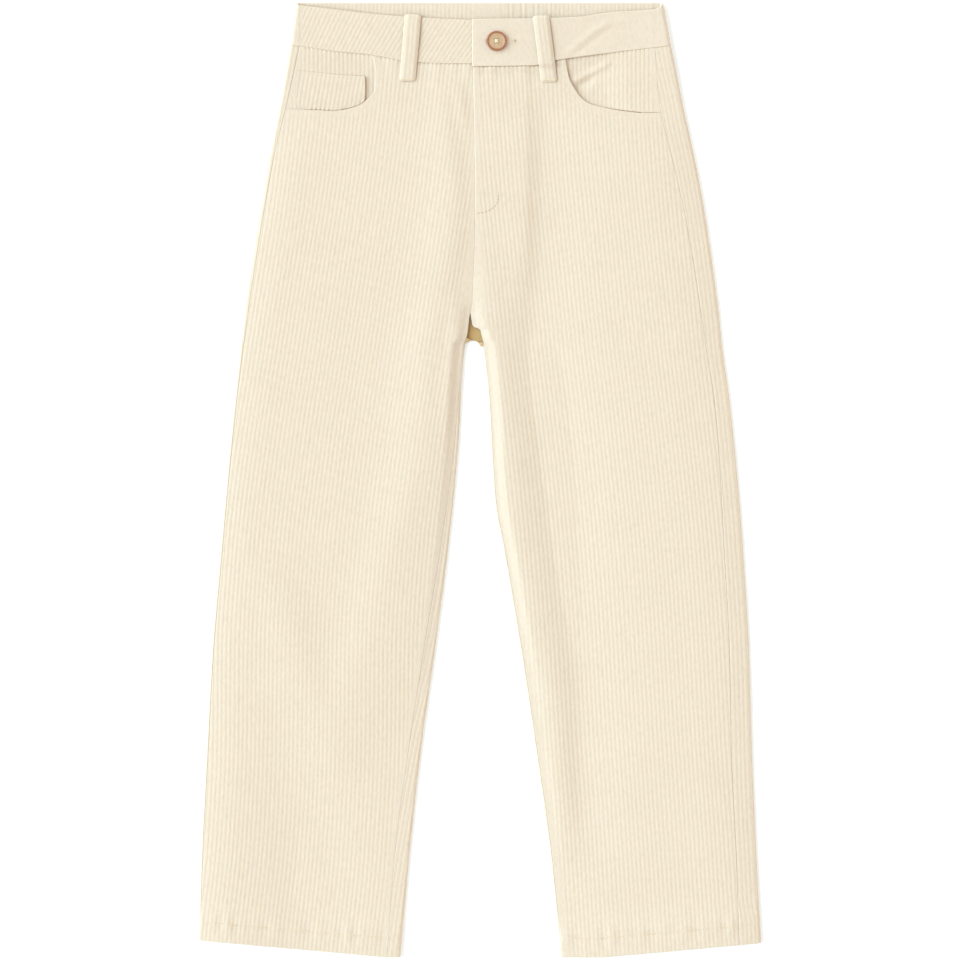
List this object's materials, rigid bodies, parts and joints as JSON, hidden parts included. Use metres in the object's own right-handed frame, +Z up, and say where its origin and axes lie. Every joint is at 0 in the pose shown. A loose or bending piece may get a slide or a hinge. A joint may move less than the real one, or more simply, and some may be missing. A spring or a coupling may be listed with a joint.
{
  "type": "corduroy trousers",
  "caption": "Child's cream corduroy trousers laid flat, front up, with curved front pockets, a lapped waist tab and button, belt loops, and wide legs with turned-up hems.",
  "frame": {"origin": "centre of the bounding box's base, on the surface that the trousers lie on", "axes": "+Z up from the surface, towards the garment's front; +Y from the hems to the waist; +X towards the wearer's left side"},
  "size_m": [0.478, 0.811, 0.0142],
  "materials": {
    "corduroy": "cream cotton corduroy with wales 3.6 mm apart",
    "button": "greige resin with a darker reddish-brown rim"
  },
  "bodies": {
    "root": {"front_right": "corduroy", "back_right": "corduroy", "pocket_facing_right": "corduroy", "front_left": "corduroy", "back_left": "corduroy", "pocket_facing_left": "corduroy", "coin_pocket": "corduroy", "fly_shield": "corduroy", "waistband_front_right": "corduroy", "waistband_front_left": "corduroy", "waistband_back": "corduroy", "belt_loop_front_right": "corduroy", "belt_loop_front_left": "corduroy", "belt_loop_back_right": "corduroy", "belt_loop_back_middle": "corduroy", "belt_loop_back_left": "corduroy", "button": "button"}
  },
  "joints": []
}
